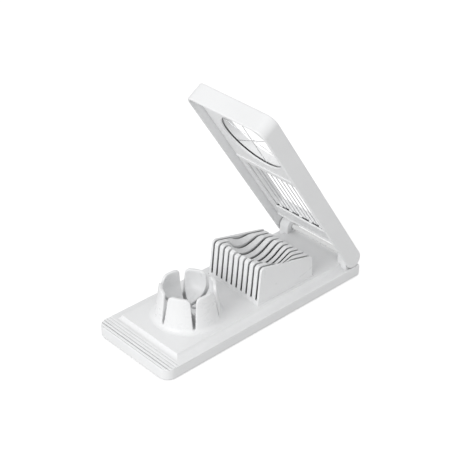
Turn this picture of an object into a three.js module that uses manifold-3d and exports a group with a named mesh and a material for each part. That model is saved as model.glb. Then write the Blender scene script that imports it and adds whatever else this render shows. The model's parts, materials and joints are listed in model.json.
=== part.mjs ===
// Two-in-one egg slicer and wedger in moulded white plastic, with a hinged lid strung with steel wires.
// Millimetres, +Z up. The origin is the middle of the underside, +X points at the hinge, +Y across.
import * as THREE from 'three';
import { mergeVertices } from 'three/addons/utils/BufferGeometryUtils.js';
import Module from 'manifold-3d';

const wasm = await Module();
wasm.setup();

// Driving dimensions
const LENGTH = 205; // base, along X
const WIDTH = 80; // base, along Y
const WALL = 2; // plastic wall
const GAP = 0.3; // clearance between separate mouldings

// Base tray
const SLAB_HEIGHT = 9.7; // top of the ledge that the closed lid rests over
const DECK_HEIGHT = 12.9; // top of the raised deck
const GRIP_CORNER = 8.5; // plan radius of the corners at the grip end
const HINGE_CORNER = 1.5; // plan radius of the corners at the hinge end
const DECK_FRONT = -85; // front edge of the deck's top
const DECK_BACK = 99; // back edge of the deck's top
const DECK_HALF = 31.5; // half width of the deck's top
const DECK_SLOPE = 4; // run of the deck's sloping sides
const DECK_BACK_SLOPE = 2;
const GROOVE_COUNT = 5;
const GROOVE_FIRST = 1.3; // first grip groove, from the end face
const GROOVE_PITCH = 2.8;
const GROOVE_SIZE = 1; // width of a grip groove, and twice its depth
const RIM = 2.8; // width of the underside's standing rim
const RIB_PLACES = [-66, -14, 74]; // stiffening ribs under the tray
const RIB_WIDTH = 3;

// Hinge
const PIVOT_X = 94.8;
const LID_DEPTH = 15.4; // lid, from rim to outer face
const HEEL_RADIUS = LID_DEPTH / 2;
const PIVOT_Z = SLAB_HEIGHT + GAP + HEEL_RADIUS;
const EAR_RADIUS = 6.8;
const EAR_INNER = 28; // ears stand from here to EAR_OUTER on each side
const EAR_OUTER = 37.2;
const ROD_RADIUS = 2;
const ROD_END = 38.8; // the rod runs through both ears and into the lid's side walls

// Slicing cradle
const CRADLE_FRONT = -0.3;
const CRADLE_BACK = 59.2;
const CRADLE_HALF = 27.7;
const CRADLE_FRONT_TOP = 45.5;
const CRADLE_BACK_TOP = 31;
const CRADLE_FRONT_LEAN = 2.8; // how far the front face leans back at its top
const CRADLE_BACK_LEAN = 0.6;
const SLICE_COUNT = 10; // slicing wires, and slots for them
const SLICE_PITCH = 5.5;
const SLOT_WIDTH = 1.8;
const CRADLE_WALL = 2.8; // front and back sills, inside which the slots go right through
const SLOT_SILL = 15.7; // bottom of the slots in the front and back walls
const RECESS = { x: 29.5, z: 45.6, halfX: 24.4, halfY: 27.6, halfZ: 21 };

// Wedging cup
const CUP_X = -47;
const CUP_TOP = 40;
const WEDGE_COUNT = 3; // wires across the cup, each in a slot right through it
const WEDGE_SLOT_BOTTOM = 15.2;
const WEDGE_SLOT_WIDTH = { bottom: 2, top: 5 };

// Lid, in its own frame: the hinge axis is its origin, -X runs to its free end when closed, +Z is outward
const LID_REACH = 186.4; // hinge axis to free end
const LID_HALF = 39.7;
const LID_CORNER = 8;
const LID_OPEN_DEG = 56.44;
const FRAME_HINGE_END = -15; // hinge-side end of the lid's plates
const ROUND_WINDOW = { x: CUP_X - PIVOT_X, radius: 28.2 }; // over the cup when the lid is closed
const SLICE_WINDOW = { front: -97.6, back: -31.6, half: 31 };
const PLATE_BOTTOM = -1.2; // inner plate, which holds the wires down
const PLATE_TOP = 0.3;
const WIRE_LEVEL = 1.2;
const COLLAR_BOTTOM = 2.3; // walls round the windows end here, above the wires
const BEAD = { x: -102.7, width: 1.2, height: 0.7 };
const SPACER_WIDTH = 3.6; // posts between the wire pairs, at both ends of the slicing window
const SPACER_LENGTH = 3.4;
const SLICE_WIRE_RADIUS = 0.3;
const WEDGE_WIRE_RADIUS = 0.25;
const WEDGE_WIRE_STEP = 0.6; // the crossing wires pass over each other at these steps
const WIRE_GRIP = 3; // length of wire held beyond a window's edge

const WHITE = new THREE.MeshStandardMaterial({ color: 0xf2f3f2, roughness: 0.35, metalness: 0 });
const STEEL = new THREE.MeshStandardMaterial({ color: 0xb9bcc0, roughness: 0.25, metalness: 1 });

// Geometry helpers
function toSolid(geometry) {
  const bare = geometry.clone();
  bare.deleteAttribute('normal');
  bare.deleteAttribute('uv');
  const merged = mergeVertices(bare, 1e-4);
  const vertProperties = new Float32Array(merged.attributes.position.array);
  const triVerts = new Uint32Array(merged.index.array);
  return new wasm.Manifold(new wasm.Mesh({ numProp: 3, vertProperties, triVerts }));
}

function toGeometry(solid) {
  const { vertProperties, triVerts } = solid.getMesh();
  const geometry = new THREE.BufferGeometry();
  geometry.setAttribute('position', new THREE.BufferAttribute(vertProperties, 3));
  geometry.setIndex(new THREE.BufferAttribute(triVerts, 1));
  geometry.computeVertexNormals();
  return geometry;
}

function block(x0, x1, y0, y1, z0, z1) {
  const box = new THREE.BoxGeometry(x1 - x0, y1 - y0, z1 - z0);
  return toSolid(box.translate((x0 + x1) / 2, (y0 + y1) / 2, (z0 + z1) / 2));
}

// A block whose bottom and top rectangles differ. Each is [x0, x1, halfWidth].
function taperedBlock(bottom, z0, top, z1) {
  const geometry = new THREE.BoxGeometry(1, 1, 1);
  const corner = geometry.attributes.position;
  for (let i = 0; i < corner.count; i += 1) {
    const [x0, x1, half] = corner.getZ(i) > 0 ? top : bottom;
    const x = corner.getX(i) > 0 ? x1 : x0;
    const y = corner.getY(i) > 0 ? half : -half;
    corner.setXYZ(i, x, y, corner.getZ(i) > 0 ? z1 : z0);
  }
  return toSolid(geometry);
}

// A rectangle in plan with one corner radius at its low-X end and another, or none, at its high-X end.
function roundedPlan(x0, x1, half, frontRadius, backRadius = 0) {
  const plan = new THREE.Shape();
  plan.absarc(x0 + frontRadius, half - frontRadius, frontRadius, Math.PI / 2, Math.PI);
  plan.absarc(x0 + frontRadius, frontRadius - half, frontRadius, Math.PI, 1.5 * Math.PI);
  if (backRadius === 0) {
    plan.lineTo(x1, -half);
    plan.lineTo(x1, half);
    return plan;
  }
  plan.absarc(x1 - backRadius, backRadius - half, backRadius, 1.5 * Math.PI, 2 * Math.PI);
  plan.absarc(x1 - backRadius, half - backRadius, backRadius, 0, Math.PI / 2);
  return plan;
}

function raise(plan, z0, z1, curveSegments = 6) {
  const settings = { depth: z1 - z0, bevelEnabled: false, curveSegments };
  const geometry = new THREE.ExtrudeGeometry(plan, settings);
  return toSolid(geometry.translate(0, 0, z0));
}

function roundBar(x, z, radius, y0, y1, sides) {
  const bar = new THREE.CylinderGeometry(radius, radius, y1 - y0, sides);
  return toSolid(bar.translate(x, (y0 + y1) / 2, z));
}

function disc(x, radius, z0, z1, sides) {
  const cylinder = new THREE.CylinderGeometry(radius, radius, z1 - z0, sides);
  return toSolid(cylinder.rotateX(Math.PI / 2).translate(x, 0, (z0 + z1) / 2));
}

function part(name, shape, material) {
  const geometry = shape.isBufferGeometry ? shape : toGeometry(shape);
  const mesh = new THREE.Mesh(geometry, material);
  mesh.name = name;
  return mesh;
}

const middleWire = (SLICE_COUNT - 1) / 2;
const wirePlaces = Array.from({ length: SLICE_COUNT }, (_, i) => (i - middleWire) * SLICE_PITCH);

// Base tray: a shallow upturned tray with a raised deck, a grooved grip end and two hinge ears
function baseTray() {
  const plan = roundedPlan(-LENGTH / 2, LENGTH / 2, WIDTH / 2, GRIP_CORNER, HINGE_CORNER);
  let tray = raise(plan, 0, SLAB_HEIGHT);
  const foot = [DECK_FRONT - DECK_SLOPE, DECK_BACK + DECK_BACK_SLOPE, DECK_HALF + DECK_SLOPE];
  const top = [DECK_FRONT, DECK_BACK, DECK_HALF];
  tray = tray.add(taperedBlock(foot, SLAB_HEIGHT - 0.01, top, DECK_HEIGHT));
  const half = GROOVE_SIZE / 2;
  for (let i = 0; i < GROOVE_COUNT; i += 1) {
    const x = -LENGTH / 2 + GROOVE_FIRST + i * GROOVE_PITCH;
    const groove = block(x - half, x + half, -WIDTH, WIDTH, SLAB_HEIGHT - half, DECK_HEIGHT);
    tray = tray.subtract(groove);
  }
  tray = tray.add(hingeEar(1)).add(hingeEar(-1));
  tray = tray.subtract(underside());
  return tray.subtract(cradleOpening());
}

// The hollow under the tray, with its stiffening ribs left standing
function underside() {
  const x0 = -LENGTH / 2 + RIM;
  const x1 = LENGTH / 2 - RIM;
  const half = WIDTH / 2 - RIM;
  const ceiling = SLAB_HEIGHT - WALL;
  const lower = raise(roundedPlan(x0, x1, half, GRIP_CORNER - RIM, HINGE_CORNER), -1, ceiling, 4);
  const deckHalf = DECK_HALF - WALL;
  const upper = block(DECK_FRONT + WALL, DECK_BACK - WALL, -deckHalf, deckHalf, 0, DECK_HEIGHT - WALL);
  let hollow = lower.add(upper);
  for (const x of RIB_PLACES) {
    const rib = block(x - RIB_WIDTH / 2, x + RIB_WIDTH / 2, -WIDTH, WIDTH, -2, DECK_HEIGHT);
    hollow = hollow.subtract(rib);
  }
  return hollow;
}

// The window in the deck under the cradle, through which its slots are open below
function cradleOpening() {
  const edge = 2.5;
  const half = CRADLE_HALF - edge;
  return block(CRADLE_FRONT + edge, CRADLE_BACK - edge, -half, half, 0, DECK_HEIGHT + 1);
}

function hingeEar(side) {
  const inner = Math.min(side * EAR_INNER, side * EAR_OUTER);
  const outer = Math.max(side * EAR_INNER, side * EAR_OUTER);
  const foot = block(PIVOT_X - EAR_RADIUS, PIVOT_X + EAR_RADIUS, inner, outer, SLAB_HEIGHT - 1, PIVOT_Z);
  const ear = foot.add(roundBar(PIVOT_X, PIVOT_Z, EAR_RADIUS, inner, outer, 24));
  return ear.subtract(roundBar(PIVOT_X, PIVOT_Z, ROD_RADIUS + GAP, inner - 1, outer + 1, 16));
}

function hingeRod() {
  const rod = new THREE.CylinderGeometry(ROD_RADIUS, ROD_RADIUS, 2 * ROD_END, 16);
  return rod.translate(PIVOT_X, 0, PIVOT_Z);
}

// Cradle: eleven upright ribs with slots between them, hollowed to hold an egg on its side
function slicingCradle() {
  const bottom = DECK_HEIGHT + GAP;
  const side = new THREE.Shape();
  const frontTop = CRADLE_FRONT + CRADLE_FRONT_LEAN;
  const corner = 3;
  side.moveTo(CRADLE_FRONT, bottom);
  side.lineTo(CRADLE_BACK, bottom);
  side.lineTo(CRADLE_BACK - CRADLE_BACK_LEAN, CRADLE_BACK_TOP);
  side.lineTo(frontTop + corner, CRADLE_FRONT_TOP - corner / 4);
  side.quadraticCurveTo(frontTop, CRADLE_FRONT_TOP, frontTop - corner / 8, CRADLE_FRONT_TOP - corner);
  const settings = { depth: 2 * CRADLE_HALF, bevelEnabled: false, curveSegments: 4 };
  const profile = new THREE.ExtrudeGeometry(side, settings);
  let cradle = toSolid(profile.rotateX(Math.PI / 2).translate(0, CRADLE_HALF, 0));
  const x0 = CRADLE_FRONT + CRADLE_WALL;
  const x1 = CRADLE_BACK - CRADLE_WALL;
  for (const y of wirePlaces) {
    const low = y - SLOT_WIDTH / 2;
    const high = y + SLOT_WIDTH / 2;
    const slot = block(CRADLE_FRONT - 1, CRADLE_BACK + 1, low, high, SLOT_SILL, CRADLE_FRONT_TOP + 1);
    cradle = cradle.subtract(slot).subtract(block(x0, x1, low, high, bottom - 1, SLOT_SILL + 1));
  }
  const egg = new THREE.SphereGeometry(1, 20, 14).scale(RECESS.halfX, RECESS.halfY, RECESS.halfZ);
  return cradle.subtract(toSolid(egg.translate(RECESS.x, 0, RECESS.z)));
}

// Cup: six upright lobes round an egg-shaped hollow, parted by tapering slots that meet in the middle
function wedgeCup() {
  const bottom = DECK_HEIGHT + GAP;
  const outside = [[29, 0], [27, 0.7], [25.4, 3], [24.5, 8], [23.4, 14], [22.3, 20.5]];
  const inside = [[18.9, 0], [20, 7], [19.6, 12.5], [17, 17], [11, 19.6], [0, 20.5]];
  const profile = [new THREE.Vector2(0, bottom)];
  outside.forEach(([r, rise]) => profile.push(new THREE.Vector2(r, bottom + rise)));
  profile.push(new THREE.Vector2(21.4, CUP_TOP));
  inside.forEach(([r, drop]) => profile.push(new THREE.Vector2(r, CUP_TOP - drop)));
  const turned = new THREE.LatheGeometry(profile, 36).rotateX(Math.PI / 2).translate(CUP_X, 0, 0);
  let cup = toSolid(turned);
  for (let i = 0; i < WEDGE_COUNT; i += 1) {
    cup = cup.subtract(wedgeSlot((i * Math.PI) / WEDGE_COUNT));
  }
  return cup;
}

// A slot right across the cup, wider at its mouth, turned about the cup's axis
function wedgeSlot(angle) {
  const reach = 40;
  const top = CUP_TOP + 1;
  const section = new THREE.Shape();
  section.moveTo(-WEDGE_SLOT_WIDTH.bottom / 2, WEDGE_SLOT_BOTTOM);
  section.lineTo(WEDGE_SLOT_WIDTH.bottom / 2, WEDGE_SLOT_BOTTOM);
  section.lineTo(WEDGE_SLOT_WIDTH.top / 2, top);
  section.lineTo(-WEDGE_SLOT_WIDTH.top / 2, top);
  const cutter = new THREE.ExtrudeGeometry(section, { depth: 2 * reach, bevelEnabled: false });
  cutter.translate(0, 0, -reach).rotateX(Math.PI / 2).rotateZ(Math.PI / 2 + angle);
  return toSolid(cutter.translate(CUP_X, 0, 0));
}

// Lid frame: side walls with round heels, an outer plate with two windows, and a wall round each window
function lidFrame() {
  const plan = roundedPlan(-LID_REACH, 0, LID_HALF, LID_CORNER);
  const inner = roundedPlan(WALL - LID_REACH, 20, LID_HALF - WALL, LID_CORNER - WALL);
  const low = -HEEL_RADIUS;
  const high = HEEL_RADIUS;
  let frame = raise(plan, low, high);
  frame = frame.add(roundBar(0, 0, HEEL_RADIUS, -LID_HALF, LID_HALF, 48));
  frame = frame.subtract(raise(inner, low - 1, high - WALL));
  frame = frame.subtract(block(FRAME_HINGE_END, 20, WALL - LID_HALF, LID_HALF - WALL, low - 1, high + 1));
  frame = frame.add(windowWalls());
  frame = frame.subtract(windows(low, high + 1));
  for (const side of [1, -1]) {
    const blind = new THREE.CylinderGeometry(ROD_RADIUS + GAP, ROD_RADIUS + GAP, 4, 16);
    frame = frame.subtract(toSolid(blind.translate(0, side * (ROD_END + GAP - 2), 0)));
  }
  return frame;
}

// The walls round the windows, the wall across the hinge end, and the posts that part the wire pairs
function windowWalls() {
  const high = HEEL_RADIUS - 0.5;
  const { front, back, half } = SLICE_WINDOW;
  const across = LID_HALF - WALL + 0.5;
  let walls = disc(ROUND_WINDOW.x, ROUND_WINDOW.radius + WALL, COLLAR_BOTTOM, high, 48);
  walls = walls.add(block(front - WALL, back + WALL, -half - WALL, half + WALL, COLLAR_BOTTOM, high));
  for (const y of [-half - WALL, half]) {
    walls = walls.add(block(front, back, y, y + WALL, PLATE_TOP + GAP, high));
  }
  walls = walls.add(block(FRAME_HINGE_END - WALL, FRAME_HINGE_END, -across, across, PLATE_TOP + GAP, high));
  const ends = [[front - SPACER_LENGTH, front], [back, back + SPACER_LENGTH]];
  const posts = SLICE_COUNT / 2 + 1;
  for (let i = 0; i < posts; i += 1) {
    const y = (i - (posts - 1) / 2) * 2 * SLICE_PITCH;
    for (const [x0, x1] of ends) {
      const post = block(x0, x1, y - SPACER_WIDTH / 2, y + SPACER_WIDTH / 2, PLATE_TOP + GAP, high);
      walls = walls.add(post);
    }
  }
  return walls;
}

function windows(low, high) {
  const { front, back, half } = SLICE_WINDOW;
  const round = disc(ROUND_WINDOW.x, ROUND_WINDOW.radius, low, high, 48);
  return round.add(block(front, back, -half, half, low, high));
}

// Inner plate: closes the lid's underside over the wire ends, with a bead between its two windows
function lidPlate() {
  const end = WALL + GAP;
  const plan = roundedPlan(end - LID_REACH, FRAME_HINGE_END - GAP, LID_HALF - end, LID_CORNER - end);
  let plate = raise(plan, PLATE_BOTTOM, PLATE_TOP);
  const half = LID_HALF - end - 1;
  const beadFrom = BEAD.x - BEAD.width / 2;
  const beadTo = BEAD.x + BEAD.width / 2;
  plate = plate.add(block(beadFrom, beadTo, -half, half, PLATE_BOTTOM - BEAD.height, 0));
  return plate.subtract(windows(PLATE_BOTTOM - 1, PLATE_TOP + 1));
}

function wire(radius, x0, x1, level, sides) {
  const rod = new THREE.CylinderGeometry(radius, radius, x1 - x0, sides);
  return rod.rotateZ(Math.PI / 2).translate((x0 + x1) / 2, 0, level);
}

function slicingWire(y) {
  const { front, back } = SLICE_WINDOW;
  return wire(SLICE_WIRE_RADIUS, front - WIRE_GRIP, back + WIRE_GRIP, WIRE_LEVEL, 8).translate(0, y, 0);
}

function wedgeWire(index) {
  const reach = ROUND_WINDOW.radius + WIRE_GRIP;
  const level = WIRE_LEVEL + (index - 1) * WEDGE_WIRE_STEP;
  const rod = wire(WEDGE_WIRE_RADIUS, -reach, reach, level, 8);
  return rod.rotateZ((index * Math.PI) / WEDGE_COUNT).translate(ROUND_WINDOW.x, 0, 0);
}

const slicer = new THREE.Group();
slicer.add(part('base_tray', baseTray(), WHITE));
slicer.add(part('slicing_cradle', slicingCradle(), WHITE));
slicer.add(part('wedge_cup', wedgeCup(), WHITE));
slicer.add(part('hinge_rod', hingeRod(), WHITE));

// The lid turns about its hinge axis and is shown standing open
const lid = new THREE.Group();
lid.position.set(PIVOT_X, 0, PIVOT_Z);
lid.rotation.y = THREE.MathUtils.degToRad(LID_OPEN_DEG);
lid.add(part('lid_frame', lidFrame(), WHITE));
lid.add(part('lid_inner_plate', lidPlate(), WHITE));
wirePlaces.forEach((y, i) => {
  lid.add(part(`slicing_wire_${String(i + 1).padStart(2, '0')}`, slicingWire(y), STEEL));
});
for (let i = 0; i < WEDGE_COUNT; i += 1) {
  lid.add(part(`wedge_wire_${i + 1}`, wedgeWire(i), STEEL));
}
slicer.add(lid);

export default slicer;
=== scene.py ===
# %% [markdown]
# # A two-in-one egg slicer and wedger in moulded white plastic
# The real object is six white mouldings and thirteen lengths of steel wire. A long tray carries a
# slotted cup and a ribbed cradle. A lid with two windows is strung with the wires and turns on a
# rod at the back of the tray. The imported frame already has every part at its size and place, so
# this lesson remodels each part with soft edges, rounded corners, fillets and grooves, and leaves
# the frame itself where it is.

# %% Load the frame
import json
import math

import bmesh
import bpy
from mathutils import Matrix, Vector


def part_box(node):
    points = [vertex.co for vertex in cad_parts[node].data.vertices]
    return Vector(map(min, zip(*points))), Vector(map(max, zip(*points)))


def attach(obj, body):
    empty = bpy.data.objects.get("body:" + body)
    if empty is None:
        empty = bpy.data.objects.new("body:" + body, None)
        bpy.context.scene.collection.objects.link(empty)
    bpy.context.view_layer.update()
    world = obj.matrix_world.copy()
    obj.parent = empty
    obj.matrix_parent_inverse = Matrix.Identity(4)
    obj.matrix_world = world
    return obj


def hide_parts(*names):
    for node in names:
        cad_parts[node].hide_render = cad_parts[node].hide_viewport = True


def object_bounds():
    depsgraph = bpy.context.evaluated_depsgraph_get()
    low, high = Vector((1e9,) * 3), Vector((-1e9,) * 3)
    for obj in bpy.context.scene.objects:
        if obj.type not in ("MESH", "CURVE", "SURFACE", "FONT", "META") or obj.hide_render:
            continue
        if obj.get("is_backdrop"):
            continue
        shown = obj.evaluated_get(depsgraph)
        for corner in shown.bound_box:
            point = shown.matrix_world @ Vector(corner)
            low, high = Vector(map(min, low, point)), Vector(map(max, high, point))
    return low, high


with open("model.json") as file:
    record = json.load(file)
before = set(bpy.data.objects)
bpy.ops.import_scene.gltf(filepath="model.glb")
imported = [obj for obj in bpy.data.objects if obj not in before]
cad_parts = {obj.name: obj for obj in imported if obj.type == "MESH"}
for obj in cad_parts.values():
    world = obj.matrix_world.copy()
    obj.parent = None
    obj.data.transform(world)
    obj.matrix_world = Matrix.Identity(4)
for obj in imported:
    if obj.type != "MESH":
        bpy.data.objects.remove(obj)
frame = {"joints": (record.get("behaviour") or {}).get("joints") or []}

bpy.context.view_layer.update()
hinge = frame["joints"][0]
print("joint", hinge["name"], hinge)

# %% [markdown]
# ## The bench
# Bevels of a few tenths of a millimetre are smaller than some of Blender's own tolerances when a
# unit is a metre. So each piece is modelled on a bench where a unit is a millimetre, and it is
# scaled down once, at the end. Everything is deselected before a new primitive is added, because an
# operator acts on all that is selected and the frame's own meshes come in selected.

# %% Selecting
MM = 0.001
SAME_PLACE = 0.01
STRAIGHT = 0.999


def put_down():
    """Back to object mode with nothing selected."""
    if bpy.context.mode != "OBJECT":
        bpy.ops.object.mode_set(mode="OBJECT")
    bpy.ops.object.select_all(action="DESELECT")


def hold(piece):
    """Only this piece is selected and active."""
    put_down()
    piece.select_set(True)
    bpy.context.view_layer.objects.active = piece


def pick(piece, kind, test):
    """In edit mode, only the edges or faces that pass the test are selected."""
    hold(piece)
    bpy.ops.object.mode_set(mode="EDIT")
    bpy.ops.mesh.select_mode(type=kind)
    bpy.ops.mesh.select_all(action="DESELECT")
    mesh = bmesh.from_edit_mesh(piece.data)
    found = [item for item in (mesh.edges if kind == "EDGE" else mesh.faces) if test(item)]
    for item in found:
        item.select_set(True)
    bmesh.update_edit_mesh(piece.data)
    return len(found)


def middle(edge):
    """The middle of an edge."""
    return (edge.verts[0].co + edge.verts[1].co) / 2


def runs_along(edge, axis):
    """Whether an edge runs along X, Y or Z, given as 0, 1 or 2."""
    direction = (edge.verts[1].co - edge.verts[0].co).normalized()
    return abs(direction[axis]) > STRAIGHT


def on_level(edge, z):
    """Whether an edge lies level at this height."""
    return all(abs(v.co.z - z) < SAME_PLACE for v in edge.verts)


def faces_up(face):
    return face.normal.z > 0.99


# %% Blocks, rods and rounded edges
def settle(name=None):
    """Put the active object's place, turn and size into its mesh, and name it."""
    bpy.ops.object.transform_apply(location=True, rotation=True, scale=True)
    piece = bpy.context.object
    if name:
        piece.name = name
    return piece


def block(name, x, y, z):
    """A cube primitive at its size and place, from a low and a high number in X, Y and Z."""
    put_down()
    spans = (x, y, z)
    place = [(low + high) / 2 for low, high in spans]
    size = [high - low for low, high in spans]
    bpy.ops.mesh.primitive_cube_add(size=1, location=place, scale=size)
    return settle(name)


def rod(name, radius, y, x, z, sides=48):
    """A cylinder primitive across the object, from a low to a high Y."""
    put_down()
    turn = (math.pi / 2, 0, 0)
    place = (x, sum(y) / 2, z)
    bpy.ops.mesh.primitive_cylinder_add(
        vertices=sides, radius=radius, depth=y[1] - y[0], location=place, rotation=turn
    )
    return settle(name)


def upright_disc(name, radius, x, z, sides=96):
    """A cylinder primitive standing on the object's middle line."""
    put_down()
    place = (x, 0, sum(z) / 2)
    bpy.ops.mesh.primitive_cylinder_add(
        vertices=sides, radius=radius, depth=z[1] - z[0], location=place
    )
    return settle(name)


def round_edges(piece, radius, steps, test):
    """Bevel the edges that pass the test."""
    count = pick(piece, "EDGE", test)
    bpy.ops.mesh.bevel(offset=radius, segments=steps, affect="EDGES", clamp_overlap=False)
    put_down()
    return count


def round_corners(piece, end, radius, steps):
    """Bevel the upright corners at one end of a block. The end is the X where they stand."""
    return round_edges(
        piece, radius, steps, lambda e: runs_along(e, 2) and abs(middle(e).x - end) < SAME_PLACE
    )


# Two full rounds stop a hair short of each other, and the sliver between them is welded.
HAIR = 0.01
WELD = 0.05


def weld(piece, distance):
    """Merge corners that lie closer than the distance."""
    hold(piece)
    bpy.ops.object.mode_set(mode="EDIT")
    bpy.ops.mesh.select_all(action="SELECT")
    bpy.ops.mesh.remove_doubles(threshold=distance)
    put_down()


# %% Joining, cutting, copying and turning
# A cutting tool reaches this far past what it cuts.
PAST = 3.0


def combine(piece, tool, how):
    """Join a tool to a piece with UNION or take it away with DIFFERENCE. The tool is used up."""
    hold(piece)
    step = piece.modifiers.new("combine", "BOOLEAN")
    step.operation = how
    step.solver = "EXACT"
    step.object = tool
    bpy.ops.object.modifier_apply(modifier=step.name)
    bpy.data.objects.remove(tool, do_unlink=True)
    return piece


def copy_of(piece, move):
    """A copy with its own mesh, moved by a step."""
    hold(piece)
    bpy.ops.object.duplicate()
    bpy.ops.transform.translate(value=move)
    return settle()


def turn_and_move(piece, turn, move):
    """Turn a piece about the bench's origin, then move it."""
    hold(piece)
    piece.rotation_euler = turn
    piece.location = move
    return settle()


# %% Drawing an outline and turning it
def draw(name, points):
    """A chain of edges through the points: one vertex, extruded from point to point."""
    put_down()
    bpy.ops.mesh.primitive_plane_add(size=1, location=points[0])
    piece = settle(name)
    bpy.ops.object.mode_set(mode="EDIT")
    bpy.ops.mesh.select_mode(type="VERT")
    bpy.ops.mesh.select_all(action="SELECT")
    bpy.ops.mesh.merge(type="CENTER")
    for start, end in zip(points, points[1:]):
        step = Vector(end) - Vector(start)
        bpy.ops.mesh.extrude_vertices_move(TRANSFORM_OT_translate={"value": step})
    return piece


def filled(name, points):
    """A flat face with the drawn outline, all of it selected in edit mode."""
    piece = draw(name, points)
    bpy.ops.mesh.select_all(action="SELECT")
    bpy.ops.mesh.edge_face_add()
    return piece


def face_outwards():
    """From edit mode, turn every face of the piece outwards and put it down."""
    bpy.ops.mesh.select_all(action="SELECT")
    bpy.ops.mesh.normals_make_consistent(inside=False)
    put_down()


def turned(name, profile, x, steps=96):
    """Spin a chain of (radius, height) points about the upright axis, then move it to x."""
    piece = draw(name, [(radius, 0, height) for radius, height in profile])
    bpy.ops.mesh.select_all(action="SELECT")
    bpy.ops.mesh.spin(steps=steps, angle=2 * math.pi, center=(0, 0, 0), axis=(0, 0, 1))
    bpy.ops.mesh.select_all(action="SELECT")
    bpy.ops.mesh.remove_doubles(threshold=0.001)
    bpy.ops.mesh.normals_make_consistent(inside=False)
    bpy.ops.transform.translate(value=(x, 0, 0))
    put_down()
    return piece


def arc(centre, radius, start, end, steps):
    """Points of an arc in degrees, as pairs."""
    angles = [math.radians(start + (end - start) * i / steps) for i in range(steps + 1)]
    return [(centre[0] + radius * math.cos(a), centre[1] + radius * math.sin(a)) for a in angles]


# %% Finishing a piece
STRAY = 0.02
FLAT_TURN = math.radians(0.4)
SHARP_TURN = math.radians(32)
SMOOTH_TURN = math.radians(42)
FLAT_WEIGHT = 80


def soften(piece, width, steps=3):
    """Clean up after the cuts, round every edge that turns sharply and smooth the rest."""
    hold(piece)
    bpy.ops.object.mode_set(mode="EDIT")
    bpy.ops.mesh.select_all(action="SELECT")
    bpy.ops.mesh.remove_doubles(threshold=STRAY)
    bpy.ops.mesh.dissolve_limited(angle_limit=FLAT_TURN, delimit=set())
    bpy.ops.object.mode_set(mode="OBJECT")
    bevel = piece.modifiers.new("soft edges", "BEVEL")
    bevel.width = width
    bevel.segments = steps
    bevel.limit_method = "ANGLE"
    bevel.angle_limit = SHARP_TURN
    bevel.use_clamp_overlap = False
    bpy.ops.object.modifier_apply(modifier=bevel.name)
    bpy.ops.object.shade_smooth_by_angle(angle=SMOOTH_TURN)
    flat = piece.modifiers.new("keep flats flat", "WEIGHTED_NORMAL")
    flat.keep_sharp = True
    flat.weight = FLAT_WEIGHT
    bpy.ops.object.modifier_apply(modifier=flat.name)
    return piece


def finish_piece(piece, body, finish, slot, *nodes):
    """Scale a piece down to metres, give it its finish and let it stand for its frame nodes."""
    hold(piece)
    piece.scale = (MM, MM, MM)
    settle()
    piece.data.materials.clear()
    piece.data.materials.append(finish)
    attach(piece, body)
    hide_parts(*nodes)
    low, high = Vector(piece.bound_box[0]), Vector(piece.bound_box[6])
    size = [round(v / MM, 1) for v in high - low]
    print(piece.name, "size", size, "mm,", len(piece.data.polygons), "faces")
    return piece


def box_of(node):
    """Low and high corner of a frame node in millimetres."""
    low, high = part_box(node)
    return low / MM, high / MM


# %% [markdown]
# ## Finishes
# White polystyrene comes out of a polished mould with a soft gloss. Close up it isn't one colour:
# the tone drifts a little where the melt flowed, the gloss varies with handling, and the skin has a
# faint orange peel. Painting that by hand would need a map for every piece. Noise on the object's
# own coordinates gives the same at any scale with no seams, so that is what the shared node group
# does. A second group paints a highlight on edges that stick out and paints shade in creases. The
# whites of the tray, cradle and cup also get painted shade deep in narrow slots.

# %% Node helpers
def feed(tree, value, socket):
    """Link a value to a socket, or set the socket where the value is a plain number or colour."""
    if isinstance(value, bpy.types.NodeSocket):
        tree.links.new(value, socket)
    else:
        socket.default_value = value


def set_inputs(tree, node, values):
    for name, value in values.items():
        feed(tree, value, node.inputs[name])
    return node


def sockets(group, inputs, outputs):
    """Give a node group its named inputs and outputs."""
    for name, kind, value in inputs:
        made = group.interface.new_socket(name=name, in_out="INPUT", socket_type="NodeSocket" + kind)
        made.default_value = value
    for name, kind in outputs:
        group.interface.new_socket(name=name, in_out="OUTPUT", socket_type="NodeSocket" + kind)
    return group.nodes.new("NodeGroupInput"), group.nodes.new("NodeGroupOutput")


def noise(tree, vector, scale, detail, roughness=0.5, distortion=0.0):
    """A noise pattern from 0 to 1. Its scale may come from another socket."""
    node = tree.nodes.new("ShaderNodeTexNoise")
    look = {"Scale": scale, "Detail": detail, "Roughness": roughness, "Distortion": distortion}
    return set_inputs(tree, node, {"Vector": vector, **look}).outputs["Fac"]


def remap(tree, value, low, high, out_low, out_high):
    """A value stretched from one range to another."""
    node = tree.nodes.new("ShaderNodeMapRange")
    ends = {"From Min": low, "From Max": high, "To Min": out_low, "To Max": out_high}
    return set_inputs(tree, node, {"Value": value, **ends}).outputs["Result"]


def sums(tree, operation, first, second):
    node = tree.nodes.new("ShaderNodeMath")
    node.operation = operation
    feed(tree, first, node.inputs[0])
    feed(tree, second, node.inputs[1])
    return node.outputs["Value"]


def blend_colours(tree, amount, first, second):
    node = tree.nodes.new("ShaderNodeMix")
    node.data_type = "RGBA"
    return set_inputs(tree, node, {"Factor": amount, "A": first, "B": second}).outputs["Result"]


# %% Moulded skin: tone drift, handling gloss and orange peel
# These four say how fine a pattern is, roughly in spots to a metre.
FLOW_CLOUDS = 22
HANDLING_MARKS = 75
RUB_MARKS = 420
FINE_GRAIN = 5200
HANDLING_DULL = 0.10
RUB_DULL = 0.08
GRAIN_SHARE = 0.12

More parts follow.
